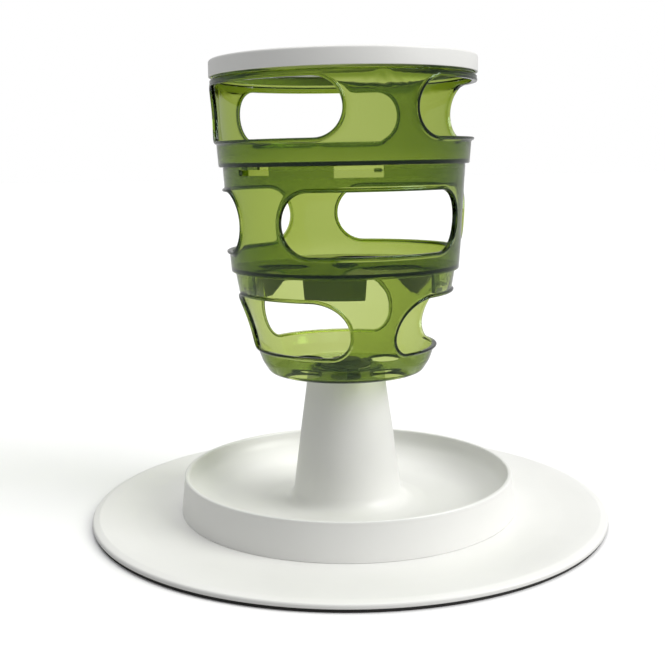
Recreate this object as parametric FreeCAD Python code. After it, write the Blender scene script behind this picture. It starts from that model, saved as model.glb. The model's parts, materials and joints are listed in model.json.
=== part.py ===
import FreeCAD, Part
import math
import os

V = FreeCAD.Vector

# ---------------------------------------------------------------------------
# Cat food tree: a dish-shaped base plate, a round kibble tray with a hollow
# trunk moulded into it, and three see-through levels stacked on the trunk.
# Kibble is poured in at the top and falls from level to level into the tray.
#
# Millimetres, +Z up. Origin: centre of the ring that the tree stands on.
# Azimuth 0 faces -Y, and positive azimuth turns towards +X.
# ---------------------------------------------------------------------------

# --- driving dimensions ----------------------------------------------------
PLATE_R = 180.0            # base plate, outer radius
PLATE_BOTTOM = 1.6
PLATE_EDGE_Z = 2.3         # lower line of the plate's outer edge
PLATE_RIM_Z = 6.6          # highest line of the plate's raised rim
RING_R0, RING_R1 = 171.5, 178.9   # rubber ring under the rim, proud of the edge below
PAD_R, PAD_AT = 7.0, 88.0         # four rubber pads nearer the middle

TRAY_FOOT_R = 118.0
TRAY_FOOT_Z = 4.3
TRAY_RIM_R = 114.5
TRAY_RIM_Z = 30.0
TRUNK_TOP_Z = 101.0
TRUNK_TOP_R = 27.2
NECK_R = 17.22
NECK_TOP_Z = 104.8
STUD_R = 9.0
STUD_TOP_Z = 107.0

WALL = 2.2                 # wall of the see-through levels
LIP = 1.7                  # how far the rolled edge of a window stands out
LIP_W = 2.3                # and how wide it is

BOWL_BOTTOM_Z = 101.2
BOWL_COLLAR_TOP = 173.6
BOWL_HOLE_R = 12.2         # four round drop holes
BOWL_HOLE_AT = 39.8

MID_SKIRT_Z = 172.8
MID_FLOOR_TOP = 176.0
MID_COLLAR_TOP = 243.8
UP_SKIRT_Z = 243.4
UP_FLOOR_TOP = 245.9
UP_TONGUE_TOP = 308.4
FLOOR_T = 1.8

TOP_RING_R = 90.2
TOP_RING_Z0, TOP_RING_Z1 = 302.7, 314.2

# windows: first azimuth, last azimuth, lowest and highest z, radius of the
# lower and upper corners; each is repeated three times round the axis
LOW_WIN = (29.6, 122.7, 120.6, 157.4, 13.2, 23.6)
MID_WIN = (-29.8, 63.6, 187.5, 227.2, 19.8, 19.9)
UP_WIN = (31.9, 119.8, 260.6, 296.8, 18.0, 18.2)

# drop holes in the two upper floors: three kidneys
KIDNEY_R0, KIDNEY_R1 = 27.0, 60.0
KIDNEY_HALF = 6.5          # half angle between the centres of the round ends
MID_KIDNEY_AZ = 46.0
UP_KIDNEY_AZ = 37.5
SHUTTER_R = 62.0
SHUTTER_T = 1.8
TAB_HALF = 19.5            # half the angle of the front finger tab
SIDE_TABS = (-108.0, 130.0)     # the two side tabs taper; azimuths from the front one
SIDE_TAB_TOP, SIDE_TAB_END = 23.5, 3.5
SIDE_TAB_Z0, SIDE_TAB_Z1 = 151.0, 164.0   # heights between which they taper
WING_AZ, WING_HALF = 11.0, 10.5  # three wings of the lock knob
LUG_HALF = 10.0            # three lugs of the trunk's insert, under the wings
LUG_R0, LUG_R1 = 20.6, 25.7
LUG_TOP_Z = 103.3
MID_TAB_AZ = -6.5
MID_TAB_Z = 158.0
PIN_R = 4.0
BORE_R = 4.08

# hooks under a floor and the L-shaped slots that they turn into
UP_HOOK_AZ = (-54.8, -52.4)
UP_LSLOT = (-54.9, -34.6, -41.2)      # closed end, open end, side of the way in
UP_BACK_HOOK_AZ = (158.6, 162.6)
UP_BACK_SLOT = (157.6, 185.4, 170.8, 178.8)   # ends of the slot, sides of the way in
MID_HOOK_AZ = (55.0, 61.0)
MID_LSLOT = (54.0, 74.2, 66.6)


# --- helpers ---------------------------------------------------------------
def rounded(points):
    """Edges of a closed outline; a third number rounds that corner."""
    n = len(points)
    ends = []
    for i, p in enumerate(points):
        x, z = p[0], p[1]
        rad = p[2] if len(p) > 2 else 0.0
        if rad <= 0:
            ends.append(((x, z), (x, z), None))
            continue
        ax, az = points[i - 1][0], points[i - 1][1]
        bx, bz = points[(i + 1) % n][0], points[(i + 1) % n][1]
        ux, uz = ax - x, az - z
        wx, wz = bx - x, bz - z
        lu, lw = math.hypot(ux, uz), math.hypot(wx, wz)
        ux, uz, wx, wz = ux / lu, uz / lu, wx / lw, wz / lw
        dot = max(-1.0, min(1.0, ux * wx + uz * wz))
        half = math.acos(dot) / 2.0
        t = rad / math.tan(half)
        t = min(t, lu * 0.48, lw * 0.48)
        rr = t * math.tan(half)
        mx, mz = ux + wx, uz + wz
        lm = math.hypot(mx, mz)
        c = rr / math.sin(half)
        cx, cz = x + mx / lm * c, z + mz / lm * c
        mid = (cx - mx / lm * rr, cz - mz / lm * rr)
        ends.append(((x + ux * t, z + uz * t), (x + wx * t, z + wz * t), mid))
    edges = []
    for i in range(n):
        a, b, mid = ends[i]
        if mid is not None:
            edges.append(Part.Arc(V(a[0], 0, a[1]), V(mid[0], 0, mid[1]),
                                  V(b[0], 0, b[1])).toShape())
        nxt = ends[(i + 1) % n][0]
        if math.hypot(nxt[0] - b[0], nxt[1] - b[1]) > 1e-6:
            edges.append(Part.LineSegment(V(b[0], 0, b[1]), V(nxt[0], 0, nxt[1])).toShape())
    return edges


def turned(points):
    """A solid of revolution about Z from an outline of (radius, z) points."""
    face = Part.Face(Part.Wire(rounded(points)))
    return face.revolve(V(0, 0, 0), V(0, 0, 1), 360.0)


def at(az, r, z=0.0):
    a = math.radians(az)
    return V(r * math.sin(a), -r * math.cos(a), z)


def sector(r0, r1, z0, z1, az0, az1):
    """Part of a ring between two azimuths."""
    p = [V(r0, 0, z0), V(r1, 0, z0), V(r1, 0, z1), V(r0, 0, z1), V(r0, 0, z0)]
    s = Part.Face(Part.makePolygon(p)).revolve(V(0, 0, 0), V(0, 0, 1), az1 - az0)
    s.rotate(V(0, 0, 0), V(0, 0, 1), az0 - 90.0)
    return s


def radial_rod(az, z, rad, r0, r1):
    a = math.radians(az)
    return Part.makeCylinder(rad, r1 - r0, at(az, r0, z), V(math.sin(a), -math.cos(a), 0))


def window(win, mean_r, grow=0.0):
    """Tool for one window: a band round the wall with round corners."""
    az0, az1, z0, z1, rb, rt = win
    zs = z0 + rb
    r0, r1 = mean_r - 22.0, mean_r + 14.0
    out = []
    for rad, za, zb, zc in ((rb, z0 - grow, zs, z0 + rb), (rt, zs, z1 + grow, z1 - rt)):
        d = math.degrees(math.asin(rad / mean_r))
        left, right = az0 + d, az1 - d
        body = sector(r0, r1, za, zb, left, right)
        keep = Part.makeBox(400, 400, zb - za, V(-200, -200, za))
        ends = radial_rod(left, zc, rad + grow, r0, r1).fuse(
            radial_rod(right, zc, rad + grow, r0, r1))
        out.append(body.fuse(ends.common(keep)))
    return out[0].fuse(out[1]).removeSplitter()


def thrice(shape):
    out = [shape]
    for k in (1, 2):
        c = shape.copy()
        c.rotate(V(0, 0, 0), V(0, 0, 1), 120.0 * k)
        out.append(c)
    return out


def kidney(az, r0, r1, half, z0, z1):
    """Tool for a kidney-shaped hole with full round ends."""
    rad = (r1 - r0) / 2.0
    rm = (r1 + r0) / 2.0
    t = sector(r0, r1, z0, z1, az - half, az + half)
    for s in (-1, 1):
        t = t.fuse(Part.makeCylinder(rad, z1 - z0, at(az + s * half, rm, z0)))
    return t.removeSplitter()


def check(name, shape):
    solids = shape.Solids
    print("%-20s solids %d  volume %.0f mm3  valid %s" % (name, len(solids), shape.Volume, shape.isValid()))


PARTS = {}


def keep(name, shape):
    if len(shape.Solids) == 1:
        shape = shape.Solids[0]
    PARTS[name] = shape
    check(name, shape)


# --- base plate ------------------------------------------------------------
plate = turned([
    (0.0, PLATE_BOTTOM), (0.0, 4.2), (118.0, 4.2, 60.0), (150.0, 4.9, 60.0),
    (168.0, 6.3, 12.0), (175.0, PLATE_RIM_Z, 4.0), (180.0, 5.2, 3.2),
    (180.0, PLATE_EDGE_Z, 0.5), (RING_R1 + 0.1, PLATE_EDGE_Z), (RING_R1 + 0.1, 3.25), (RING_R0 - 0.1, 3.25),
    (RING_R0 - 0.1, PLATE_BOTTOM), (167.0, PLATE_BOTTOM), (166.0, 3.7), (150.0, 2.7),
    (126.0, 2.0), (124.0, PLATE_BOTTOM)])
# collar in the middle with three lugs that the trunk's foot turns under
collar = turned([(28.6, 4.0), (31.2, 4.0), (31.2, 15.6), (28.6, 15.6)])
plate = plate.fuse(collar)
for az in (0, 120, 240):
    plate = plate.fuse(sector(30.6, 33.4, 12.4, 15.0, az - 12, az + 12))
# ribs that stiffen the plate inside the collar
for az in (0, 60, 120):
    rib = Part.makeBox(57.4, 1.8, 5.0, V(-28.7, -0.9, 4.0))
    rib.rotate(V(0, 0, 0), V(0, 0, 1), az)
    plate = plate.fuse(rib)
for k in range(4):
    plate = plate.cut(Part.makeCylinder(PAD_R + 0.05, 0.6, at(45 + 90 * k, PAD_AT, PLATE_BOTTOM - 0.1)))
plate = plate.removeSplitter()
keep("base_plate", plate)

keep("anti_slip_ring", turned([
    (RING_R0, 0.0, 0.6), (RING_R1, 0.0, 0.6), (RING_R1, 3.2), (RING_R0, 3.2)]))
pads = [Part.makeCylinder(PAD_R, 2.05, at(45 + 90 * k, PAD_AT, 0.0)) for k in range(4)]
keep("centre_pads", Part.makeCompound(pads))

# --- kibble tray with its trunk, one moulding ------------------------------
tray = turned([
    # outside, from the foot up over the rim and down into the dish
    (TRAY_FOOT_R, TRAY_FOOT_Z), (TRAY_RIM_R + 1.1, 27.0, 6.0), (TRAY_RIM_R + 1.1, TRAY_RIM_Z, 1.2),
    (TRAY_RIM_R - 1.9, TRAY_RIM_Z, 1.2), (112.0, 28.4), (112.0, 21.7, 13.5), (94.7, 7.2, 29.0),
    (56.0, 7.6, 30.0), (39.0, 9.6, 17.0),
    # trunk
    (32.3, 60.5, 25.0), (28.1, 90.0, 20.0), (TRUNK_TOP_R, TRUNK_TOP_Z, 1.0),
    (NECK_R, TRUNK_TOP_Z), (NECK_R, NECK_TOP_Z), (STUD_R, NECK_TOP_Z),
    (STUD_R, STUD_TOP_Z), (0.0, STUD_TOP_Z),
    # hollow inside of the trunk and underside of the dish
    (0.0, NECK_TOP_Z - 2.6), (14.4, NECK_TOP_Z - 2.6), (14.4, TRUNK_TOP_Z - 2.6),
    (24.7, TRUNK_TOP_Z - 2.6), (25.6, 90.0, 20.0), (29.8, 60.5, 25.0),
    (36.2, 7.2, 4.0), (56.0, 5.3, 30.0), (95.5, 5.0, 31.0), (113.4, 20.0),
    (115.5, TRAY_FOOT_Z)])
# three ramps inside the foot of the trunk that turn in under the plate's lugs
for az in (0, 120, 240):
    ramp = sector(31.5, 38.1, 8.4, 12.1, az - 12, az + 12)
    tray = tray.fuse(ramp)
# key on the trunk's shoulder that stops the bowl's turn
tray = tray.fuse(sector(20.6, 23.6, TRUNK_TOP_Z - 0.6, TRUNK_TOP_Z + 1.5, 176.0, 184.0))
# three notches in the trunk's top edge that the insert's lugs stand in
for k in range(3):
    az = WING_AZ + 120 * k
    tray = tray.cut(sector(LUG_R0 - 0.2, 29.0, 98.2, 101.6, az - LUG_HALF - 0.3, az + LUG_HALF + 0.3))
tray = tray.removeSplitter()
keep("tray_trunk", tray)

# --- insert in the trunk's top: a ring with three lugs that the bowl turns on ---
insert = turned([
    (18.5, 95.0, 0.3), (24.3, 95.0, 0.3), (24.3, TRUNK_TOP_Z - 2.6), (18.5, TRUNK_TOP_Z - 2.6)])
for k in range(3):
    az = WING_AZ + 120 * k
    insert = insert.fuse(sector(LUG_R0, 24.0, 96.1, LUG_TOP_Z, az - LUG_HALF, az + LUG_HALF))
    insert = insert.fuse(sector(LUG_R0, LUG_R1, 98.3, LUG_TOP_Z, az - LUG_HALF, az + LUG_HALF))
    insert = insert.fuse(sector(LUG_R0, 27.1, 98.3, 100.9, az - LUG_HALF, az + LUG_HALF))
insert = insert.removeSplitter()
keep("trunk_insert", insert)

# --- lock knob on the trunk's stud, clamps the lowest bowl -----------------
knob = turned([
    (STUD_R + 0.08, 105.0), (17.6, 105.0, 0.4), (17.6, 105.9, 0.4), (12.4, 106.7, 2.0), (9.6, 109.4, 1.2),
    (0.0, 109.8), (0.0, STUD_TOP_Z + 0.3), (STUD_R + 0.08, STUD_TOP_Z + 0.3)])
# three short wings that reach over the bowl's hub
wing = turned([
    (14.0, 105.0), (22.4, 105.0), (22.4, 106.1, 0.4), (14.0, 106.4)])
for k in range(3):
    az = WING_AZ + 120 * k
    knob = knob.fuse(wing.common(sector(13.0, 30.0, 102.0, 111.0, az - WING_HALF, az + WING_HALF)))
knob = knob.removeSplitter()
keep("lock_knob", knob)

# --- lowest level: the bowl on the trunk -----------------------------------
bowl = turned([
    (NECK_R + 0.08, BOWL_BOTTOM_Z), (30.0, BOWL_BOTTOM_Z), (53.3, BOWL_BOTTOM_Z + 0.8, 4.5), (58.3, 110.0, 14.0),
    (62.2, 121.0, 40.0), (72.75, 156.4, 30.0), (75.3, 171.0, 40.0), (75.5, BOWL_COLLAR_TOP),
    (73.3, BOWL_COLLAR_TOP), (73.1, 171.2, 40.0), (70.55, 156.9, 30.0), (60.0, 121.6, 40.0),
    (56.2, 111.2, 12.0), (51.9, 104.2, 2.5), (30.0, 103.4), (24.2, 103.4), (23.4, 104.6),
    (NECK_R + 0.08, 104.6)])
band = turned([
    (60.0, 117.0), (60.2 + LIP, 114.2), (62.2 + LIP, 121.0, 40.0), (72.75 + LIP, 156.4, 30.0),
    (74.2 + LIP, 163.0), (71.5, 163.0), (61.0, 120.0)])
for w0 in thrice(window(LOW_WIN, 66.5, LIP_W)):
    bowl = bowl.fuse(w0.common(band))
for w0 in thrice(window(LOW_WIN, 66.5)):
    bowl = bowl.cut(w0)
for k in range(4):
    bowl = bowl.cut(Part.makeCylinder(BOWL_HOLE_R, 12.0, at(45 + 90 * k, BOWL_HOLE_AT, 97.0)))
# L-shaped grooves inside the collar that the middle level's hooks run in
a0, a1, ay = MID_LSLOT
for s0 in thrice(sector(66.0, 73.1, 159.8, 163.8, a0, a1).fuse(
        sector(66.0, 73.1, 163.0, 176.0, ay, a1))):
    bowl = bowl.cut(s0)
# groove in the hub's underside that the trunk's key runs in: a 30 degree turn
bowl = bowl.cut(sector(20.2, 24.0, 101.0, 102.9, 145.4, 184.6))
# three curved slots that the insert's lugs stand in while the bowl turns
for k in range(3):
    az = WING_AZ + 120 * k
    bowl = bowl.cut(sector(LUG_R0 - 0.3, LUG_R1 + 0.3, 100.8, LUG_TOP_Z + 0.15,
                           az - LUG_HALF - 30.6, az + LUG_HALF + 0.6))
bowl = bowl.removeSplitter()
keep("lower_bowl", bowl)


# --- the two levels with a floor -------------------------------------------
def once(shape):
    return [shape]


def hooks(shape, spread, az, r_leg, z_bottom, z_top, r_lug, lug_z0, lug_z1):
    leg = sector(r_leg - 2.0, r_leg, z_bottom, z_top, az[0], az[1])
    lug = sector(r_leg - 0.6, r_lug, lug_z0, lug_z1, az[0], az[1])
    for h in spread(leg.fuse(lug)):
        shape = shape.fuse(h)
    return shape


middle = turned([
    (76.1, MID_SKIRT_Z), (78.15, MID_SKIRT_Z, 0.8), (79.4, 189.0, 60.0), (82.15, 240.0, 60.0),
    (82.3, MID_COLLAR_TOP), (80.1, MID_COLLAR_TOP), (79.95, 240.0, 60.0),
    (76.5, MID_FLOOR_TOP, 0.6), (9.2, MID_FLOOR_TOP),
    (8.8, MID_FLOOR_TOP + 1.2), (BORE_R, MID_FLOOR_TOP + 1.2), (BORE_R, MID_FLOOR_TOP - FLOOR_T),
    (76.3, MID_FLOOR_TOP - FLOOR_T)])
band = turned([
    (78.6, 183.0), (79.0 + LIP, 183.0), (79.4 + LIP, 189.0, 60.0), (81.7 + LIP, 232.0),
    (80.8, 232.0), (78.7, 189.0)])
for w0 in thrice(window(MID_WIN, 80.4, LIP_W)):
    middle = middle.fuse(w0.common(band))
for w0 in thrice(window(MID_WIN, 80.4)):
    middle = middle.cut(w0)
# two slots through the collar: an L at the front left and a taller one at the back, so
# that the upper level goes on one way round only
a0, a1, ay = UP_LSLOT
middle = middle.cut(sector(77.0, 85.0, 238.0, 241.7, a0, a1).fuse(
    sector(77.0, 85.0, 241.0, 247.4, ay, a1)))
a0, a1, w0, w1 = UP_BACK_SLOT
middle = middle.cut(sector(77.0, 85.0, 233.5, 241.7, a0, a1).fuse(
    sector(77.0, 85.0, 241.0, 247.4, w0, w1)))
for k in range(3):
    middle = middle.cut(kidney(MID_KIDNEY_AZ + 120 * k, KIDNEY_R0, KIDNEY_R1, KIDNEY_HALF,
                               MID_FLOOR_TOP - 4.0, MID_FLOOR_TOP + 1.0))
middle = hooks(middle, thrice, MID_HOOK_AZ, 70.3, 159.6, MID_FLOOR_TOP - 1.0, 72.8, 160.4, 163.2)
middle = middle.removeSplitter()
keep("middle_level", middle)

upper = turned([
    (83.0, UP_SKIRT_Z), (85.05, UP_SKIRT_Z, 0.8), (86.0, 256.0, 60.0), (87.9, 294.4, 2.0),
    (89.5, 296.2, 1.4), (89.5, 300.2, 1.4), (88.1, 301.3), (88.1, UP_TONGUE_TOP),
    (86.1, UP_TONGUE_TOP), (85.9, 295.0, 60.0), (83.5, UP_FLOOR_TOP, 0.6),
    (0.0, UP_FLOOR_TOP), (0.0, UP_FLOOR_TOP - FLOOR_T), (83.1, UP_FLOOR_TOP - FLOOR_T)])
band = turned([
    (85.0, 256.0), (86.0 + LIP, 256.0), (87.9 + LIP, 294.4), (88.0 + LIP, 299.5), (87.0, 299.5)])
for w0 in thrice(window(UP_WIN, 87.0, LIP_W)):
    upper = upper.fuse(w0.common(band))
for w0 in thrice(window(UP_WIN, 87.0)):
    upper = upper.cut(w0)
for k in range(3):
    upper = upper.cut(kidney(UP_KIDNEY_AZ + 120 * k, KIDNEY_R0, KIDNEY_R1, KIDNEY_HALF,
                             UP_FLOOR_TOP - 4.0, UP_FLOOR_TOP + 1.0))
for az in (UP_HOOK_AZ, UP_BACK_HOOK_AZ):
    upper = hooks(upper, once, az, 79.0, 237.4, UP_FLOOR_TOP - 1.0, 81.8, 238.4, 241.2)
upper = upper.removeSplitter()
keep("upper_level", upper)


# --- shutter: a three-bladed disc under the middle floor -------------------
# At rest its gaps lie under the floor's holes; a third of a turn on, its blades do.
def tab_corners(az, half_top, half_end, z_end, z_top):
    """Two slanted slabs that taper a tab from half_top at z_top to half_end at z_end."""
    t_top = SHUTTER_R * math.sin(math.radians(half_top))
    t_end = SHUTTER_R * math.sin(math.radians(half_end))
    a = math.radians(az)
    out = None
    for side in (-1, 1):
        flat = [(t_end, z_end - 1.0), (t_end, z_end), (t_top, z_top),
                (t_top + 6.0, z_top), (t_top + 6.0, z_end - 1.0)]
        pts = [at(az, 40.0) + V(math.cos(a) * side * t, math.sin(a) * side * t, z) for t, z in flat]
        slab = Part.Face(Part.makePolygon(pts + [pts[0]])).extrude(V(30 * math.sin(a), -30 * math.cos(a), 0))
        out = slab if out is None else out.fuse(slab)
    return out


def shutter(top_z, tab_az, tab_z, kidney_az):
    z0 = top_z - SHUTTER_T
    s = turned([(PIN_R, z0), (SHUTTER_R, z0, 0.5), (SHUTTER_R, top_z, 0.5), (PIN_R, top_z)])
    rad = (KIDNEY_R1 - KIDNEY_R0) / 2.0
    side = KIDNEY_HALF + math.degrees(math.asin(rad / (KIDNEY_R0 + rad)))
    for k in range(3):
        az = kidney_az + 120 * k
        gap = kidney(az, KIDNEY_R0, KIDNEY_R1, KIDNEY_HALF, z0 - 1, top_z + 1)
        s = s.cut(gap.fuse(sector(KIDNEY_R0 + rad, 70.0, z0 - 1, top_z + 1, az - side, az + side)))
    tab = sector(SHUTTER_R - 2.0, SHUTTER_R, tab_z, top_z - 0.6, tab_az - TAB_HALF, tab_az + TAB_HALF)
    s = s.fuse(tab.cut(tab_corners(tab_az, TAB_HALF, TAB_HALF - 1.3, tab_z, tab_z + 16.0)))
    for off in SIDE_TABS:
        c = tab_az + off
        t = sector(SHUTTER_R - 2.0, SHUTTER_R, SIDE_TAB_Z0, top_z - 0.6, c - SIDE_TAB_TOP, c + SIDE_TAB_TOP)
        s = s.fuse(t.cut(tab_corners(c, SIDE_TAB_TOP, SIDE_TAB_END, SIDE_TAB_Z0, SIDE_TAB_Z1)))
    return s.removeSplitter()


def pin(floor_top, disc_top):
    z0 = disc_top - SHUTTER_T
    zb = floor_top + 1.2
    p = turned([
        (0.0, z0 - 2.2), (6.4, z0 - 2.2, 0.8), (8.0, z0 - 0.2), (8.0, z0), (PIN_R, z0),
        (PIN_R, zb + 0.25), (6.0, zb + 0.25), (6.0, zb + 0.9, 0.3), (3.6, zb + 2.2, 0.5), (0.0, zb + 2.2)])
    # cross slot that lets the head spring in
    p = p.cut(Part.makeBox(1.2, 20.0, 2.4, V(-0.6, -10.0, zb + 1.1)))
    return p


keep("middle_shutter", shutter(MID_FLOOR_TOP - FLOOR_T - 0.4, MID_TAB_AZ, MID_TAB_Z, MID_KIDNEY_AZ))
keep("middle_shutter_pin", pin(MID_FLOOR_TOP, MID_FLOOR_TOP - FLOOR_T - 0.4))

# --- white ring on top, the mouth that the kibble is poured in through -----
keep("top_ring", turned([
    (88.45, TOP_RING_Z0), (TOP_RING_R, TOP_RING_Z0, 0.5), (TOP_RING_R - 0.1, TOP_RING_Z1 - 0.6, 1.8),
    (87.2, TOP_RING_Z1, 1.6), (84.7, 312.9, 2.2), (85.0, 308.75), (88.45, 308.75)]))

# --- write one file per piece ----------------------------------------------
os.makedirs("parts", exist_ok=True)
for name, shape in PARTS.items():
    shape.exportStep("parts/%s.step" % name)
print("wrote", len(PARTS), "parts")
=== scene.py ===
import json
import math

import bmesh
import bpy
import numpy as np
from mathutils import Matrix, Vector

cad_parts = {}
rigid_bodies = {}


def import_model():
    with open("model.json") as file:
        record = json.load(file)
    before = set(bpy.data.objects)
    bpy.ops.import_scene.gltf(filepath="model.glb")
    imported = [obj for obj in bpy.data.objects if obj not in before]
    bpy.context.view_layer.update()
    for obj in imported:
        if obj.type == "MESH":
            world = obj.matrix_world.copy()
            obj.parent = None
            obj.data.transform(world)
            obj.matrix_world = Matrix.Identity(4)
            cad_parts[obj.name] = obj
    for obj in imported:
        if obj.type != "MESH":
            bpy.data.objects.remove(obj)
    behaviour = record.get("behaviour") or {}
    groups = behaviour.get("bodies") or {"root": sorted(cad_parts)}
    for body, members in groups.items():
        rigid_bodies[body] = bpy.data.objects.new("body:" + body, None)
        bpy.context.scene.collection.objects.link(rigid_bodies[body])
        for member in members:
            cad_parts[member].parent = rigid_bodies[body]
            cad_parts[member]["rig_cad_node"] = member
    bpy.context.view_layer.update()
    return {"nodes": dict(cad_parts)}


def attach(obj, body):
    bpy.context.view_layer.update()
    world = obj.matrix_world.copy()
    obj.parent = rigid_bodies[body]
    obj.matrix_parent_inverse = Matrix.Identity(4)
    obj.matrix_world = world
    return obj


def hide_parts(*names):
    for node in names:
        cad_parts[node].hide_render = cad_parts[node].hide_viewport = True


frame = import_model()
nodes = frame["nodes"]
MM = 0.001

# ---------------------------------------------------------------------------
# Outlines in millimetres, as in the construction: (radius, z[, corner radius])
# ---------------------------------------------------------------------------
WALL = 2.2
LIP = 1.7
LIP_W = 2.3
LOW_WIN = (29.6, 122.7, 120.6, 157.4, 13.2, 23.6)
MID_WIN = (-29.8, 63.6, 187.5, 227.2, 19.8, 19.9)
UP_WIN = (31.9, 119.8, 260.6, 296.8, 18.0, 18.2)


def rounded(points, closed=False, step=0.0):
    """Dense polyline of an outline whose corners are rounded."""
    out = []
    n = len(points)
    for i, p in enumerate(points):
        x, z = p[0], p[1]
        rad = p[2] if len(p) > 2 else 0.0
        if rad <= 0 or (not closed and i in (0, n - 1)):
            out.append((x, z))
            continue
        ax, az = points[i - 1][0], points[i - 1][1]
        bx, bz = points[(i + 1) % n][0], points[(i + 1) % n][1]
        ux, uz, wx, wz = ax - x, az - z, bx - x, bz - z
        lu, lw = math.hypot(ux, uz), math.hypot(wx, wz)
        ux, uz, wx, wz = ux / lu, uz / lu, wx / lw, wz / lw
        dot = max(-1.0, min(1.0, ux * wx + uz * wz))
        half = math.acos(dot) / 2.0
        before, after = points[i - 1], points[(i + 1) % n]
        t = min(rad / math.tan(half), lu * (0.48 if len(before) > 2 else 0.96),
                lw * (0.48 if len(after) > 2 else 0.96))
        rr = t * math.tan(half)
        mx, mz = ux + wx, uz + wz
        lm = math.hypot(mx, mz)
        cx, cz = x + mx / lm * rr / math.sin(half), z + mz / lm * rr / math.sin(half)
        a0 = math.atan2(z + uz * t - cz, x + ux * t - cx)
        a1 = math.atan2(z + wz * t - cz, x + wx * t - cx)
        d = (a1 - a0 + math.pi) % (2 * math.pi) - math.pi
        k = max(3, int(math.ceil(abs(d) / math.radians(11))))
        for j in range(k + 1):
            a = a0 + d * j / k
            out.append((cx + rr * math.cos(a), cz + rr * math.sin(a)))
    if step > 0:
        fine = [out[0]]
        for a, b in zip(out, out[1:] + (out[:1] if closed else [])):
            m = max(1, int(math.hypot(b[0] - a[0], b[1] - a[1]) / step))
            for j in range(1, m + 1):
                fine.append((a[0] + (b[0] - a[0]) * j / m, a[1] + (b[1] - a[1]) * j / m))
        out = fine[:-1] if closed else fine
    return out


def at(az, r, z):
    a = math.radians(az)
    return (r * math.sin(a) * MM, -r * math.cos(a) * MM, z * MM)


class Build:
    """Collects vertices and faces of one piece."""

    def __init__(self):
        self.v, self.f = [], []

    def add(self, verts):
        base = len(self.v)
        self.v.extend(verts)
        return base

    def grid(self, rows, close_u=False, close_v=False, flip=False):
        """rows of equally many points, joined by quads."""
        m = len(rows[0])
        base = self.add([p for r in rows for p in r])
        nr = len(rows)
        for i in range(nr if close_u else nr - 1):
            for j in range(m if close_v else m - 1):
                a = base + i * m + j
                b = base + i * m + (j + 1) % m
                c = base + ((i + 1) % nr) * m + (j + 1) % m
                d = base + ((i + 1) % nr) * m + j
                self.f.append((a, d, c, b) if flip else (a, b, c, d))

    def object(self, name, merge=2e-6, sharp=38.0):
        me = bpy.data.meshes.new(name)
        me.from_pydata(self.v, [], self.f)
        bm = bmesh.new()
        bm.from_mesh(me)
        if merge:
            bmesh.ops.remove_doubles(bm, verts=bm.verts, dist=merge)
        bmesh.ops.dissolve_degenerate(bm, edges=bm.edges, dist=1e-7)
        bmesh.ops.delete(bm, geom=[e for e in bm.edges if not e.link_faces], context="EDGES")
        bmesh.ops.delete(bm, geom=[q for q in bm.verts if not q.link_faces], context="VERTS")
        bmesh.ops.recalc_face_normals(bm, faces=bm.faces)
        bm.to_mesh(me)
        bm.free()
        return finish_mesh(me, name, sharp)


def finish_mesh(me, name, sharp):
    for p in me.polygons:
        p.use_smooth = True
    me.set_sharp_from_angle(angle=math.radians(sharp))
    me.update()
    o = bpy.data.objects.new(name, me)
    bpy.context.scene.collection.objects.link(o)
    return o


def lathe(name, outline, segments=240, closed=True, sharp=38.0, step=0.0, into=None):
    """A closed ring or disc turned about Z."""
    pts = rounded(outline, closed=closed, step=step)
    b = into or Build()
    rows = []
    for k in range(segments):
        az = 360.0 * k / segments
        rows.append([at(az, max(r, 0.0), z) for r, z in pts])
    b.grid(rows, close_u=True, close_v=closed)
    return b if into else b.object(name, sharp=sharp)


def sector_block(b, r0, r1, z0, z1, az0, az1, n=6, ch=0.25):
    """A closed curved block with small chamfers on its long edges."""
    sec = [(r0 + ch, z0), (r1 - ch, z0), (r1, z0 + ch), (r1, z1 - ch),
           (r1 - ch, z1), (r0 + ch, z1), (r0, z1 - ch), (r0, z0 + ch)]
    rows = [[at(az0 + (az1 - az0) * i / n, r, z) for r, z in sec] for i in range(n + 1)]
    base = len(b.v)
    b.grid(rows, close_v=True)
    m = len(sec)
    b.f.append(tuple(base + j for j in reversed(range(m))))
    b.f.append(tuple(base + n * m + j for j in range(m)))


def prism(b, outline, z0, z1):
    """A closed upright prism over an outline of (x, y) points in millimetres."""
    n = len(outline)
    base = b.add([(x * MM, y * MM, z0 * MM) for x, y in outline] +
                 [(x * MM, y * MM, z1 * MM) for x, y in outline])
    for i in range(n):
        j = (i + 1) % n
        b.f.append((base + i, base + j, base + n + j, base + n + i))
    b.f.append(tuple(base + i for i in reversed(range(n))))
    b.f.append(tuple(base + n + i for i in range(n)))


def kidney_outline(az, r0, r1, half, n=10, m=12):
    rad, rm = (r1 - r0) / 2.0, (r1 + r0) / 2.0
    pts = []
    for i in range(n + 1):
        a = math.radians(az - half + 2 * half * i / n)
        pts.append((r1 * math.sin(a), -r1 * math.cos(a)))
    for side in (1, -1):
        a = math.radians(az + side * half)
        c = (rm * math.sin(a), -rm * math.cos(a))
        out = (math.sin(a), -math.cos(a))
        along = (math.cos(a) * side, math.sin(a) * side)
        for i in range(1, m):
            t = math.pi * i / m
            co, si = (math.cos(t), math.sin(t)) if side == 1 else (-math.cos(t), math.sin(t))
            pts.append((c[0] + rad * (co * out[0] + si * along[0]), c[1] + rad * (co * out[1] + si * along[1])))
        if side == 1:
            for i in range(n + 1):
                a = math.radians(az + half - 2 * half * i / n)
                pts.append((r0 * math.sin(a), -r0 * math.cos(a)))
    return pts


def circle_outline(az, r_at, rad, n=40):
    a = math.radians(az)
    c = (r_at * math.sin(a), -r_at * math.cos(a))
    return [(c[0] + rad * math.cos(2 * math.pi * i / n), c[1] + rad * math.sin(2 * math.pi * i / n)) for i in range(n)]


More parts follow.
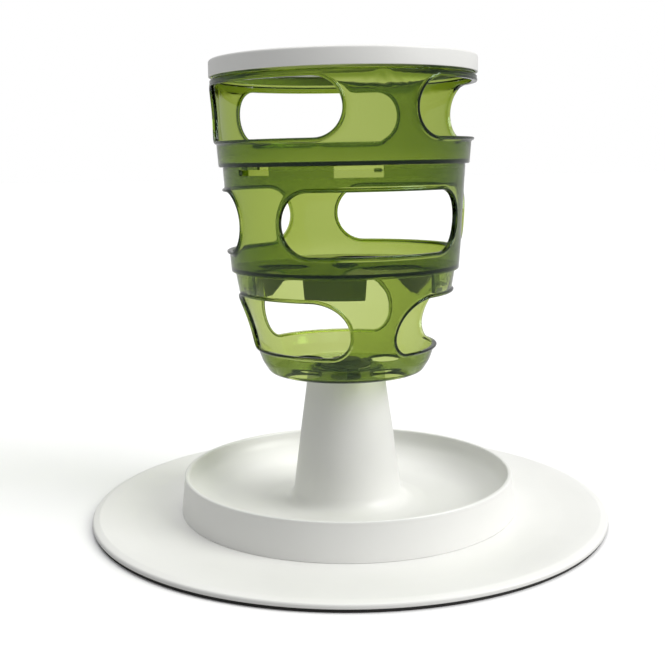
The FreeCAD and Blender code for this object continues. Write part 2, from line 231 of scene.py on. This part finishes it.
def combine(obj, tool, operation="DIFFERENCE"):
    """Takes the tool's solids out of obj, or joins them to it, and deletes the tool."""
    m = obj.modifiers.new("combine", "BOOLEAN")
    m.operation = operation
    m.solver = "EXACT"
    m.object = tool
    bpy.context.view_layer.update()
    me = bpy.data.meshes.new_from_object(obj.evaluated_get(bpy.context.evaluated_depsgraph_get()))
    obj.modifiers.clear()
    old = obj.data
    obj.data = me
    bpy.data.meshes.remove(old)
    bpy.data.objects.remove(tool)
    for p in obj.data.polygons:
        p.use_smooth = True
    obj.data.set_sharp_from_angle(angle=math.radians(38.0))


def block(obj, boxes, operation="DIFFERENCE", ch=0.0, n=8, merge=2e-6):
    """Cuts or joins curved blocks, each (r0, r1, z0, z1, az0, az1)."""
    for box in boxes:
        t = Build()
        sector_block(t, *box, n, ch)
        combine(obj, t.object("tool", merge=merge), operation)


# ---------------------------------------------------------------------------
# A see-through level: a wall with three windows whose edges are rolled
# outward, a collar or rim above, and a floor or bowl below.
# ---------------------------------------------------------------------------
def window_quadrants(win, mean_r):
    """Points and normals once round the window, in unrolled millimetres about its middle."""
    az0, az1, z0, z1, rb, rt = win
    w = math.radians(az1 - az0) / 2.0 * mean_r
    pts = []
    na = 17

    def arc(cx, cz, rad, t0, t1, first, last):
        for i in range(0 if first else 1, na + (1 if last else 0)):
            t = math.radians(t0 + (t1 - t0) * i / na)
            pts.append((cx + rad * math.cos(t), cz + rad * math.sin(t), math.cos(t), math.sin(t)))

    def line(xa, xb, z, nz):
        m = int(abs(xb - xa) / 2.4)
        for i in range(m + 1):
            pts.append((xa + (xb - xa) * i / m, z, 0.0, nz))

    line(-(w - rt), w - rt, z1, 1.0)
    arc(w - rt, z1 - rt, rt, 90, 0, False, True)
    arc(w - rb, z0 + rb, rb, 0, -90, False, False)
    line(w - rb, -(w - rb), z0, -1.0)
    arc(-(w - rb), z0 + rb, rb, -90, -180, False, True)
    arc(-(w - rt), z1 - rt, rt, 180, 90, False, False)
    return pts


def rect_targets(pts, wr, zb, zt):
    """Where each point's ray ends on the sector's rectangle: straight up or down from
    the window's straight edges, and evenly spaced round each corner from its ends."""
    n = len(pts)
    out = [None] * n
    for i, (x, z, nx, nz) in enumerate(pts):
        if abs(nx) < 1e-9:
            out[i] = (x, zt if nz > 0 else zb)
    i = 0
    while i < n:
        if out[i] is not None:
            i += 1
            continue
        j = i
        while out[j % n] is None:
            j += 1
        run = list(range(i, j))
        a, b = out[i - 1], out[j % n]
        sx = 1 if pts[run[len(run) // 2]][2] > 0 else -1
        za, zc = a[1], b[1]
        mid = [k for k in run if abs(pts[k][3]) < 1e-6][0]
        zm = pts[mid][1]
        for seq, edge, far in (((i - 1, mid), za, a[0]), ((mid, j), zc, b[0])):
            lo, hi = seq
            count = hi - lo
            horiz, vert = abs(sx * wr - far), abs(edge - zm)
            total = horiz + vert
            corner = round(count * (horiz if lo < mid else vert) / total)
            corner = max(1, min(count - 1, corner))
            for k in range(1, count) if lo < mid else range(1, count):
                if lo < mid:
                    p = (far + (sx * wr - far) * k / corner, edge) if k <= corner else \
                        (sx * wr, edge + (zm - edge) * (k - corner) / (count - corner))
                else:
                    p = (sx * wr, zm + (edge - zm) * k / corner) if k <= corner else \
                        (sx * wr + (far - sx * wr) * (k - corner) / (count - corner), edge)
                out[(lo + k) % n] = p
        out[mid] = (sx * wr, zm)
        i = j
    return out


# cross-section of a window's rolled edge: distance from the opening, height over
# the inner face as a share of the wall's thickness, and height over the outer face
EDGE_IN = [(4.2, 0.0), (2.4, 0.0), (1.2, 0.02), (0.5, 0.10), (0.14, 0.28), (0.0, 0.55)]
EDGE_OUT = [(0.0, 0.35), (0.03, 0.95), (0.20, 1.35), (0.55, 1.62), (1.0, 1.70), (1.45, 1.60),
            (1.85, 1.28), (2.08, 0.85), (2.28, 0.42), (2.6, 0.12), (3.0, 0.0)]


def level(name, win, mean_r, zb, zt, outer, inner, top, bottom):
    """outer and inner give the radius at a height; top and bottom are open outlines from
    the outer face round to the inner face."""
    pts = window_quadrants(win, mean_r)
    wr = math.radians(60.0) * mean_r
    target = rect_targets(pts, wr, zb, zt)
    n = len(pts)
    azc = (win[0] + win[1]) / 2.0
    loops = []
    room = [math.hypot(t[0] - p[0], t[1] - p[1]) for p, t in zip(pts, target)]

    def ring(d, radius, lift):
        row = []
        for (x, z, nx, nz), (tx, tz), L in zip(pts, target, room):
            e = min(d, L * 0.92)
            px, pz = x + nx * e, z + nz * e
            row.append((px, pz, radius, lift, e < d))
        return row

    def spread(side):
        rows = []
        d = EDGE_IN[0][0] if side == "in" else EDGE_OUT[-1][0]
        k = 7
        for i in range(1, k + 1):
            u = i / k
            row = []
            for (x, z, nx, nz), (tx, tz), L in zip(pts, target, room):
                e = min(d, L * 0.92)
                px, pz = x + nx * e, z + nz * e
                row.append((px + (tx - px) * u, pz + (tz - pz) * u))
            rows.append(row)
        return rows

    def place(x, z, r):
        return at(azc + math.degrees(x / mean_r), r, z)

    rows = []
    for row in reversed(spread("in")):
        rows.append([(x, z, inner(z)) for x, z in row])
    for d, share in EDGE_IN:
        rows.append([(x, z, inner(z) + share * WALL) for x, z, _, _, _ in ring(d, 0, 0)])
    for d, lift in EDGE_OUT:
        rows.append([(x, z, max(outer(z), inner(z) + WALL + lift)) for x, z, _, _, _ in ring(d, 0, 0)])
    for row in spread("out"):
        rows.append([(x, z, outer(z)) for x, z in row])

    b = Build()
    for k in range(3):
        g = []
        for row in rows:
            g.append([at(azc + 120.0 * k + math.degrees(x / mean_r), r, z) for x, z, r in row])
        b.grid(g, close_v=True)
    # the azimuths at which the wall meets the parts above and below
    for edge_z, outline in ((zt, top), (zb, bottom)):
        azs = sorted({round(azc + math.degrees(t[0] / mean_r), 7) for t in target if abs(t[1] - edge_z) < 1e-9})
        full = []
        for k in range(3):
            full += [a + 120.0 * k for a in azs[:-1]]
        line = rounded([(outer(edge_z), edge_z)] + outline + [(inner(edge_z), edge_z)], step=3.5)
        b.grid([[at(a, r, z) for r, z in line] for a in full], close_u=True)
    o = b.object(name, merge=4e-6)
    return o


def radius_of(outline):
    """Radius by height along an outline that only rises."""
    p = np.array(sorted(rounded(outline), key=lambda q: q[1]))
    return lambda z: float(np.interp(z, p[:, 1], p[:, 0]))


low_out = radius_of([(53.3, 102.0), (58.3, 110.0, 14.0), (62.2, 121.0, 40.0), (72.75, 156.4, 30.0),
                     (75.3, 171.0, 40.0), (75.5, 173.6)])
low_in = radius_of([(51.9, 104.2), (56.2, 111.2, 12.0), (60.0, 121.6, 40.0), (70.55, 156.9, 30.0),
                    (73.1, 171.2, 40.0), (73.3, 173.6)])
bowl = level("bowl_shell", LOW_WIN, 66.5, 116.6, 160.9, low_out, low_in,
             top=[(75.3, 171.0, 40.0), (75.5, 173.6, 0.6), (73.3, 173.6, 0.6), (73.1, 171.2, 40.0)],
             bottom=[(58.3, 110.0, 14.0), (53.3, 102.0, 4.5), (30.0, 101.2), (17.3, 101.2, 0.3), (17.3, 104.6, 0.4),
                     (23.4, 104.6, 0.5), (24.2, 103.4, 1.0), (30.0, 103.4), (51.9, 104.2, 2.5), (56.2, 111.2, 12.0)])
tool = Build()
for k in range(4):
    prism(tool, circle_outline(45 + 90 * k, 39.8, 12.2, 56), 97.0, 108.0)
combine(bowl, tool.object("tool"))
# grooves inside the collar for the middle level's hooks
for k in range(3):
    block(bowl, [(66.0, 73.1, 159.8, 163.8, 54.0 + 120 * k, 74.2 + 120 * k),
                 (66.0, 73.1, 163.4, 176.0, 66.6 + 120 * k, 74.2 + 120 * k)])
# groove under the hub for the trunk's key
block(bowl, [(20.2, 24.0, 100.6, 102.9, 145.4, 184.6)])
# slots that the insert's lugs stand in
for k in range(3):
    block(bowl, [(20.3, 26.0, 100.2, 103.45, 11.0 + 120 * k - 40.6, 11.0 + 120 * k + 10.6)], n=16)

mid_out = radius_of([(78.15, 172.8), (79.4, 189.0, 60.0), (82.15, 240.0, 60.0), (82.3, 243.8)])
mid_in = radius_of([(76.5, 176.0), (79.95, 240.0, 60.0), (80.1, 243.8)])
middle = level("middle_shell", MID_WIN, 80.4, 183.0, 232.0, mid_out, mid_in,
               top=[(82.15, 240.0, 60.0), (82.3, 243.8, 0.6), (80.1, 243.8, 0.6), (79.95, 240.0, 60.0)],
               bottom=[(78.15, 172.8, 0.9), (76.1, 172.8, 0.4), (76.3, 174.2), (4.08, 174.2, 0.3),
                       (4.08, 177.2, 0.3), (8.8, 177.2, 0.5), (9.2, 176.0, 0.4), (76.5, 176.0, 0.6)])
up_out = radius_of([(85.05, 243.4), (86.0, 256.0, 60.0), (87.9, 294.4, 2.0), (89.5, 296.2, 1.4), (89.5, 300.2)])
up_in = radius_of([(83.5, 245.9), (85.9, 295.0, 60.0), (86.1, 308.4)])
upper = level("upper_shell", UP_WIN, 87.0, 256.2, 299.9, up_out, up_in,
              top=[(89.5, 300.3, 0.2), (88.1, 301.3, 0.4), (88.1, 308.4, 0.7), (86.1, 308.4, 0.7)],
              bottom=[(85.05, 243.4, 0.9), (83.0, 243.4, 0.4), (83.1, 244.1), (0.0, 244.1),
                      (0.0, 245.9), (83.5, 245.9, 0.6)])

for shell, az, z in ((middle, 46.0, 175.0), (upper, 37.5, 245.2)):
    tool = Build()
    for k in range(3):
        prism(tool, kidney_outline(az + 120 * k, 27.0, 60.0, 6.5, 8, 24), z - 4.0, z + 6.0)
    combine(shell, tool.object("tool"))
block(middle, [(77.0, 85.0, 238.0, 241.7, -54.9, -34.6), (77.0, 85.0, 241.3, 248.4, -41.2, -34.6),
               (77.0, 85.0, 233.5, 241.7, 157.6, 185.4), (77.0, 85.0, 241.3, 248.4, 170.8, 178.8)])


def hook(shell, az, r_leg, z0, z1, r_lug, lz0, lz1):
    block(shell, [(r_leg - 2.0, r_leg, z0, z1, az[0], az[1])], "UNION", 0.3)
    block(shell, [(r_leg - 0.7, r_lug, lz0, lz1, az[0] + 0.02, az[1] - 0.02)], "UNION", 0.3)


for k in range(3):
    hook(middle, (55.0 + 120 * k, 61.0 + 120 * k), 70.3, 159.6, 175.0, 72.8, 160.4, 163.2)
hook(upper, (-54.8, -52.4), 79.0, 237.4, 245.2, 81.8, 238.4, 241.2)
hook(upper, (158.6, 162.6), 79.0, 237.4, 245.2, 81.8, 238.4, 241.2)

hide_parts("lower_bowl")
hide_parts("middle_level")
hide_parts("upper_level")
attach(bowl, "bowl")
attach(middle, "middle")
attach(upper, "upper")

# ---------------------------------------------------------------------------
# White mouldings
# ---------------------------------------------------------------------------
plate = lathe("plate_shell", [
    (0.0, 1.6), (0.0, 4.2), (60.0, 4.2), (118.0, 4.2, 60.0), (150.0, 4.9, 60.0),
    (168.0, 6.3, 12.0), (175.0, 6.6, 4.0), (180.0, 5.2, 3.2), (180.0, 2.3, 0.6), (179.0, 2.3),
    (179.0, 3.25), (171.4, 3.25), (171.4, 1.6, 0.2), (167.0, 1.6, 0.2), (166.0, 3.7, 0.4), (150.0, 2.7),
    (126.0, 2.0), (124.0, 1.6)], segments=360, sharp=40.0)
tool = lathe("tool", [(28.6, 3.6), (31.2, 3.6), (31.2, 15.6, 0.8), (28.6, 15.6, 0.8)], segments=144)
combine(plate, tool, "UNION")
for k in range(3):
    block(plate, [(30.6, 33.4, 12.4, 15.0, 120 * k - 12, 120 * k + 12)], "UNION", 0.3)
for az in (0, 60, 120):
    c, n2 = math.radians(az), 0.9
    tool = Build()
    prism(tool, [(math.cos(c) * x - math.sin(c) * y, math.sin(c) * x + math.cos(c) * y)
                 for x, y in ((-29.2, -n2), (29.2, -n2), (29.2, n2), (-29.2, n2))], 3.8, 9.0)
    combine(plate, tool.object("tool"), "UNION")
tool = Build()
for k in range(4):
    prism(tool, circle_outline(45 + 90 * k, 88.0, 7.05, 48), 1.2, 2.1)
combine(plate, tool.object("tool"))

ring = lathe("rubber_shell", [
    (171.5, 0.0, 0.6), (178.9, 0.0, 0.6), (178.9, 3.2), (171.5, 3.2)], segments=360)
tray = lathe("tray_shell", [
    (118.0, 4.3, 0.3), (115.6, 27.0, 6.0), (115.6, 30.0, 1.2), (112.6, 30.0, 1.2), (112.0, 28.4),
    (112.0, 21.7, 13.5), (94.7, 7.2, 29.0), (56.0, 7.6, 30.0), (39.0, 9.6, 17.0), (32.3, 60.5, 25.0),
    (28.1, 90.0, 20.0), (27.2, 101.0, 1.0), (17.22, 101.0), (17.22, 104.8, 0.5), (9.0, 104.8),
    (9.0, 107.0, 0.4), (0.0, 107.0), (0.0, 102.2), (14.4, 102.2), (14.4, 98.4), (24.7, 98.4, 1.0),
    (25.6, 90.0, 20.0), (29.8, 60.5, 25.0), (36.2, 7.2, 4.0), (56.0, 5.3, 30.0), (95.5, 5.0, 31.0),
    (113.4, 20.0, 0.8), (115.5, 4.3, 0.3)], segments=288, step=5.0)
for k in range(3):
    block(tray, [(31.5, 38.1, 8.4, 12.1, 120 * k - 12, 120 * k + 12)], "UNION", 0.2)
block(tray, [(20.6, 23.6, 100.4, 102.5, 176.0, 184.0)], "UNION", 0.3)
for k in range(3):
    block(tray, [(20.4, 29.0, 98.2, 101.6, 11.0 + 120 * k - 10.3, 11.0 + 120 * k + 10.3)])
# grey insert in the trunk's top, a ring with three lugs
insert = lathe("insert_shell", [
    (18.5, 95.0, 0.3), (24.3, 95.0, 0.3), (24.3, 98.4, 0.2), (18.5, 98.4, 0.2)], segments=144)
for k in range(3):
    block(insert, [(20.6, 24.0, 96.1, 102.0, 11.0 + 120 * k - 9.9, 11.0 + 120 * k + 9.9),
                   (20.62, 25.7, 98.3, 103.3, 11.0 + 120 * k - 10.0, 11.0 + 120 * k + 10.0),
                   (20.64, 27.1, 98.32, 100.9, 11.0 + 120 * k - 9.98, 11.0 + 120 * k + 9.98)], "UNION", 0.25)
top = lathe("mouth_ring", [
    (88.45, 302.7, 0.3), (90.2, 302.7, 0.5), (90.1, 313.6, 1.8), (87.2, 314.2, 1.6), (84.7, 312.9, 2.2),
    (85.0, 308.75, 0.9), (88.45, 308.75)], segments=288)

# knob with a raised middle and three short wings
knob = lathe("knob_shell", [
    (9.08, 105.0, 0.2), (17.6, 105.0, 0.4), (17.6, 105.9, 0.4), (12.4, 106.7, 2.0), (9.6, 109.4, 1.2),
    (0.0, 109.8), (0.0, 107.3), (9.08, 107.3)], segments=144)
for k in range(3):
    wing = Build()
    sec = rounded([(14.0, 105.02), (22.4, 105.02, 0.3), (22.4, 106.1, 0.5), (14.0, 106.4)], closed=True)
    m, rows = 14, []
    for i in range(m + 1):
        # the wing's long edges are eased by drawing the section in a little at both ends
        u = abs(2.0 * i / m - 1.0)
        e = 0.0 if u < 0.9 else (u - 0.9) / 0.1 * 0.45
        c0 = (18.2, 105.6)
        rows.append([at(11.0 + 120 * k - 10.5 + 21.0 * i / m,
                        r + (c0[0] - r) * e * 0.10, z + (c0[1] - z) * e * 0.40) for r, z in sec])
    base = len(wing.v)
    wing.grid(rows, close_v=True)
    n_sec = len(sec)
    wing.f.append(tuple(base + j for j in reversed(range(n_sec))))
    wing.f.append(tuple(base + m * n_sec + j for j in range(n_sec)))
    combine(knob, wing.object("tool"), "UNION")
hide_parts("lock_knob")
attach(knob, "knob")
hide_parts("trunk_insert")
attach(insert, "tray")
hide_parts("base_plate")
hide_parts("anti_slip_ring")
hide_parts("tray_trunk")
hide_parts("top_ring")
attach(plate, "base")
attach(ring, "base")
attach(tray, "tray")
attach(top, "ring")


# ---------------------------------------------------------------------------
# Materials
# ---------------------------------------------------------------------------
def material(name):
    m = bpy.data.materials.new(name)
    m.use_nodes = True
    nt = m.node_tree
    return m, nt, nt.nodes["Principled BSDF"], nt.nodes["Material Output"]


def noise(nt, scale, detail=3.0, rough=0.5, stretch=None):
    co = nt.nodes.new("ShaderNodeTexCoord")
    mp = nt.nodes.new("ShaderNodeMapping")
    if stretch:
        mp.inputs["Scale"].default_value = stretch
    nt.links.new(co.outputs["Object"], mp.inputs["Vector"])
    t = nt.nodes.new("ShaderNodeTexNoise")
    t.inputs["Scale"].default_value = scale
    t.inputs["Detail"].default_value = detail
    t.inputs["Roughness"].default_value = rough
    nt.links.new(mp.outputs["Vector"], t.inputs["Vector"])
    return t.outputs["Fac"]


def ramp(nt, fac, stops):
    r = nt.nodes.new("ShaderNodeValToRGB")
    el = r.color_ramp.elements
    while len(el) < len(stops):
        el.new(0.5)
    for e, (p, c) in zip(el, stops):
        e.position = p
        e.color = (*c, 1.0) if len(c) == 3 else c
    nt.links.new(fac, r.inputs["Fac"])
    return r.outputs["Color"]


def maprange(nt, fac, a, b, lo, hi):
    m = nt.nodes.new("ShaderNodeMapRange")
    m.inputs["From Min"].default_value = a
    m.inputs["From Max"].default_value = b
    m.inputs["To Min"].default_value = lo
    m.inputs["To Max"].default_value = hi
    nt.links.new(fac, m.inputs["Value"])
    return m.outputs["Result"]


def bump(nt, height, strength, distance, normal_in=None):
    b = nt.nodes.new("ShaderNodeBump")
    b.inputs["Strength"].default_value = strength
    b.inputs["Distance"].default_value = distance
    nt.links.new(height, b.inputs["Height"])
    if normal_in is not None:
        nt.links.new(normal_in, b.inputs["Normal"])
    return b.outputs["Normal"]


def moulded(name, dark, light, rough_lo, rough_hi, grain=2600.0, strength=0.10, spec=0.5):
    m, nt, p, out = material(name)
    cloud = noise(nt, 9.0, 4.0)
    nt.links.new(ramp(nt, cloud, [(0.3, dark), (0.7, light)]), p.inputs["Base Color"])
    nt.links.new(maprange(nt, noise(nt, 38.0, 5.0), 0.3, 0.7, rough_lo, rough_hi), p.inputs["Roughness"])
    p.inputs["IOR"].default_value = 1.49
    n = bump(nt, noise(nt, grain, 2.0), strength, 0.00006)
    nt.links.new(n, p.inputs["Normal"])
    return m


white = moulded("white_satin", (0.80, 0.80, 0.775), (0.84, 0.84, 0.815), 0.30, 0.42)
grey = moulded("grey_satin", (0.135, 0.142, 0.135), (0.185, 0.19, 0.18), 0.34, 0.5)
# knob and insert grey: partly their own dark grey, partly painted shade, made darker than the shutter's grey for the
# shadow of the parts around them
dark = moulded("grey_dark_painted_shade", (0.014, 0.015, 0.015), (0.022, 0.024, 0.023), 0.40, 0.55)
rubber = moulded("rubber_matt", (0.018, 0.017, 0.016), (0.03, 0.028, 0.027), 0.62, 0.85, 1400.0, 0.35)


def clear_green(name, tint, density):
    m, nt, p, out = material(name)
    p.inputs["Transmission Weight"].default_value = 1.0
    p.inputs["IOR"].default_value = 1.49
    p.inputs["Specular Tint"].default_value = (0.66, 0.97, 0.66, 1.0)
    nt.links.new(ramp(nt, noise(nt, 14.0, 3.0), [(0.3, (0.95, 0.975, 0.90)), (0.7, (0.985, 0.995, 0.96))]),
                 p.inputs["Base Color"])
    nt.links.new(maprange(nt, noise(nt, 60.0, 4.0), 0.3, 0.7, 0.015, 0.05), p.inputs["Roughness"])
    # long soft waves that a moulded wall has
    nt.links.new(bump(nt, noise(nt, 55.0, 2.0, stretch=(1.0, 1.0, 0.5)), 0.10, 0.0004), p.inputs["Normal"])
    absorb = nt.nodes.new("ShaderNodeVolumeAbsorption")
    absorb.inputs["Color"].default_value = (*tint, 1.0)
    absorb.inputs["Density"].default_value = density
    nt.links.new(absorb.outputs[0], out.inputs["Volume"])
    path = nt.nodes.new("ShaderNodeLightPath")
    thru = nt.nodes.new("ShaderNodeBsdfTransparent")
    thru.inputs["Color"].default_value = (0.95, 0.97, 0.92, 1.0)
    mix = nt.nodes.new("ShaderNodeMixShader")
    nt.links.new(path.outputs["Is Shadow Ray"], mix.inputs[0])
    nt.links.new(p.outputs[0], mix.inputs[1])
    nt.links.new(thru.outputs[0], mix.inputs[2])
    nt.links.new(mix.outputs[0], out.inputs["Surface"])
    return m


green = clear_green("green_clear", (0.584, 0.662, 0.08), 1205.0)
green_bowl = clear_green("green_clear_bowl", (0.592, 0.668, 0.09), 770.0)


def paint(o, mat):
    if len(o.data.materials) and o.get("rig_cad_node"):
        for s in o.material_slots:
            s.link = "OBJECT"
            s.material = mat
    else:
        o.data.materials.clear()
        o.data.materials.append(mat)


paint(bowl, green_bowl)
for o in (middle, upper):
    paint(o, green)
for o in (plate, tray, top):
    paint(o, white)
paint(ring, rubber)
# knob and insert take the darker grey, which paints their shade
paint(knob, dark)
paint(insert, dark)
paint(nodes["centre_pads"], rubber)
for n in ("lock_knob", "trunk_insert"):
    paint(nodes[n], dark)
for n in ("middle_shutter", "middle_shutter_pin"):
    paint(nodes[n], grey)
for n in ("base_plate", "tray_trunk", "top_ring"):
    paint(nodes[n], white)
paint(nodes["anti_slip_ring"], rubber)
paint(nodes["lower_bowl"], green_bowl)
for n in ("middle_level", "upper_level"):
    paint(nodes[n], green)

# ---------------------------------------------------------------------------
# Studio
# ---------------------------------------------------------------------------
floor_me = bpy.data.meshes.new("floor")
S = 14.0
floor_me.from_pydata([(-S, -S, 0), (S, -S, 0), (S, S, 0), (-S, S, 0)], [], [(0, 1, 2, 3)])
floor = bpy.data.objects.new("floor", floor_me)
bpy.context.scene.collection.objects.link(floor)
fm, fnt, fp, fo = material("floor_pale")
fp.inputs["Base Color"].default_value = (0.93, 0.93, 0.93, 1.0)
fp.inputs["Roughness"].default_value = 0.9
fp.inputs["Specular IOR Level"].default_value = 0.1
f_path = fnt.nodes.new("ShaderNodeLightPath")
f_dim = fnt.nodes.new("ShaderNodeBsdfDiffuse")
f_dim.inputs["Color"].default_value = (0.50, 0.50, 0.50, 1.0)
f_mix = fnt.nodes.new("ShaderNodeMixShader")
fnt.links.new(f_path.outputs["Is Reflection Ray"], f_mix.inputs[0])
fnt.links.new(fp.outputs[0], f_mix.inputs[1])
fnt.links.new(f_dim.outputs[0], f_mix.inputs[2])
fnt.links.new(f_mix.outputs[0], fo.inputs["Surface"])
floor_me.materials.append(fm)

sc = bpy.context.scene
world = bpy.data.worlds.new("studio")
sc.world = world
world.use_nodes = True
wn = world.node_tree
for nd in list(wn.nodes):
    wn.nodes.remove(nd)
w_out = wn.nodes.new("ShaderNodeOutputWorld")
w_mix = wn.nodes.new("ShaderNodeMixShader")
w_fill = wn.nodes.new("ShaderNodeBackground")
w_fill.inputs["Color"].default_value = (0.97, 0.98, 1.0, 1.0)
w_fill.inputs["Strength"].default_value = 0.28
w_back = wn.nodes.new("ShaderNodeBackground")
w_back.inputs["Color"].default_value = (1.0, 1.0, 1.0, 1.0)
w_back.inputs["Strength"].default_value = 1.0
w_path = wn.nodes.new("ShaderNodeLightPath")
wn.links.new(w_path.outputs["Is Diffuse Ray"], w_mix.inputs[0])
wn.links.new(w_fill.outputs[0], w_mix.inputs[2])
w_soft = wn.nodes.new("ShaderNodeBackground")
w_soft.inputs["Color"].default_value = (1.0, 1.0, 1.0, 1.0)
w_soft.inputs["Strength"].default_value = 0.5
w_mix2 = wn.nodes.new("ShaderNodeMixShader")
wn.links.new(w_path.outputs["Is Reflection Ray"], w_mix2.inputs[0])
wn.links.new(w_back.outputs[0], w_mix2.inputs[1])
wn.links.new(w_soft.outputs[0], w_mix.inputs[1])
wn.links.new(w_mix.outputs[0], w_mix2.inputs[2])
wn.links.new(w_mix2.outputs[0], w_out.inputs["Surface"])


def sun(name, towards, strength, spread, color=(1, 1, 1)):
    """A soft light from far away; towards is the direction it comes from."""
    d = bpy.data.lights.new(name, "SUN")
    d.energy = strength
    d.color = color
    d.angle = math.radians(spread)
    o = bpy.data.objects.new(name, d)
    sc.collection.objects.link(o)
    o.location = Vector(towards) * 2.0
    o.rotation_euler = (-Vector(towards)).to_track_quat("-Z", "Y").to_euler()
    return o


sun("key", (0.82, -0.30, 0.58), 2.1, 38.0, (1.0, 0.995, 0.985))
sun("top", (0.05, 0.2, 1.0), 1.85, 60.0)

sc.view_settings.view_transform = "Standard"
sc.view_settings.look = "None"
sc.view_settings.exposure = 0.0
sc.cycles.use_denoising = True
sc.cycles.max_bounces = 24
sc.cycles.transmission_bounces = 24
sc.cycles.glossy_bounces = 8
sc.cycles.diffuse_bounces = 6
sc.cycles.transparent_max_bounces = 32
sc.cycles.blur_glossy = 0.6

# camera
D, H, F, CX, CY = 0.7274, 0.2466, 1051.7, 306.0, 328.7
pan, pit, rol = math.radians(-2.183), math.radians(9.052), math.radians(-1.059)
fwd = Vector((math.sin(pan) * math.cos(pit), math.cos(pan) * math.cos(pit), -math.sin(pit)))
right = Vector((math.cos(pan), -math.sin(pan), 0.0))
up = right.cross(fwd)
r2 = math.cos(rol) * right + math.sin(rol) * up
u2 = -math.sin(rol) * right + math.cos(rol) * up
cam_data = bpy.data.cameras.new("camera")
cam = bpy.data.objects.new("camera", cam_data)
sc.collection.objects.link(cam)
cam.matrix_world = Matrix((
    (r2.x, u2.x, -fwd.x, 0.0), (r2.y, u2.y, -fwd.y, -D), (r2.z, u2.z, -fwd.z, H), (0, 0, 0, 1)))
cam_data.sensor_width = 36.0
cam_data.lens = F / 665.0 * 36.0
cam_data.shift_x = (332.5 - CX) / 665.0
cam_data.shift_y = (CY - 332.5) / 665.0
cam_data.clip_start, cam_data.clip_end = 0.02, 100.0
sc.camera = cam
